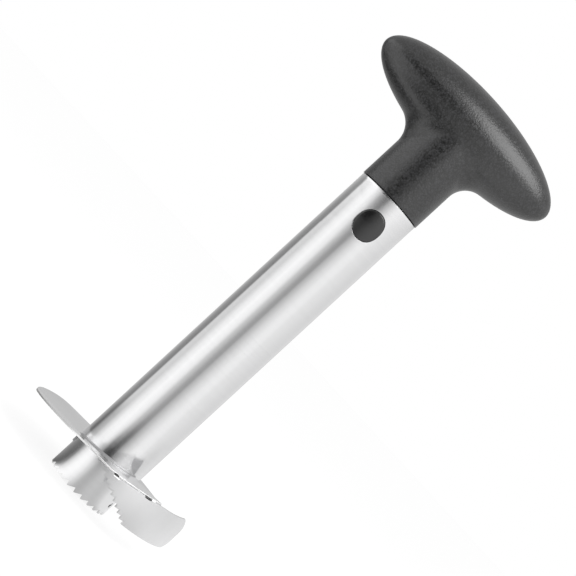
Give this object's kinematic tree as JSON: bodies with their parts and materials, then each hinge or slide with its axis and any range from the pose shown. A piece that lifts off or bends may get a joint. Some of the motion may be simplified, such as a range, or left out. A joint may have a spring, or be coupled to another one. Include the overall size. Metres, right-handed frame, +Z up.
{
  "type": "pineapple slicer",
  "caption": "T-handled twist tool: toothed coring tube with a spiral ring blade and toothed side knife; the grip's plug lifts out when its side buttons are pressed.",
  "frame": {"origin": "on the coring tube's axis, in the plane of the tooth tips", "axes": "+Z up the tube to the grip, X along the T grip, the release buttons on the -Y (front) and +Y sides"},
  "size_m": [0.1046, 0.0878, 0.2473],
  "materials": {
    "tube_steel": "satin, brushed round the tube",
    "blade_steel": "fine satin sheet",
    "weld_steel": "dull tack weld",
    "grip_plastic": "fine grained, matt charcoal",
    "plug_plastic": "smooth moulded black",
    "button_plastic": "smooth moulded black",
    "spring_steel": "drawn wire",
    "screw_steel": "plain stainless"
  },
  "bodies": {
    "tube_and_blades": {"coring_tube": "tube_steel", "slicing_ring": "blade_steel", "side_knife": "blade_steel", "knife_welds": "weld_steel"},
    "grip": {"grip_shell_front": "grip_plastic", "grip_shell_rear": "grip_plastic", "plug_body": "plug_plastic", "plug_end_cap": "plug_plastic", "plug_screw": "screw_steel", "button_spring_front": "spring_steel", "button_spring_rear": "spring_steel"},
    "front_button": {"release_button_front": "button_plastic"},
    "rear_button": {"release_button_rear": "button_plastic"}
  },
  "joints": [
    {"name": "grip_lift", "type": "slide", "parent": "tube_and_blades", "child": "grip", "axis": [0, 0, 1], "range_m": [0, 0.15]},
    {"name": "front_button_press", "type": "slide", "parent": "grip", "child": "front_button", "axis": [0, 1, 0], "range_m": [0, 0.0032], "stiffness_N_per_m": 800, "springref_m": -0.002, "deforming": ["button_spring_front"]},
    {"name": "rear_button_press", "type": "slide", "parent": "grip", "child": "rear_button", "axis": [0, -1, 0], "range_m": [0, 0.0032], "stiffness_N_per_m": 800, "springref_m": -0.002, "deforming": ["button_spring_rear"]}
  ]
}
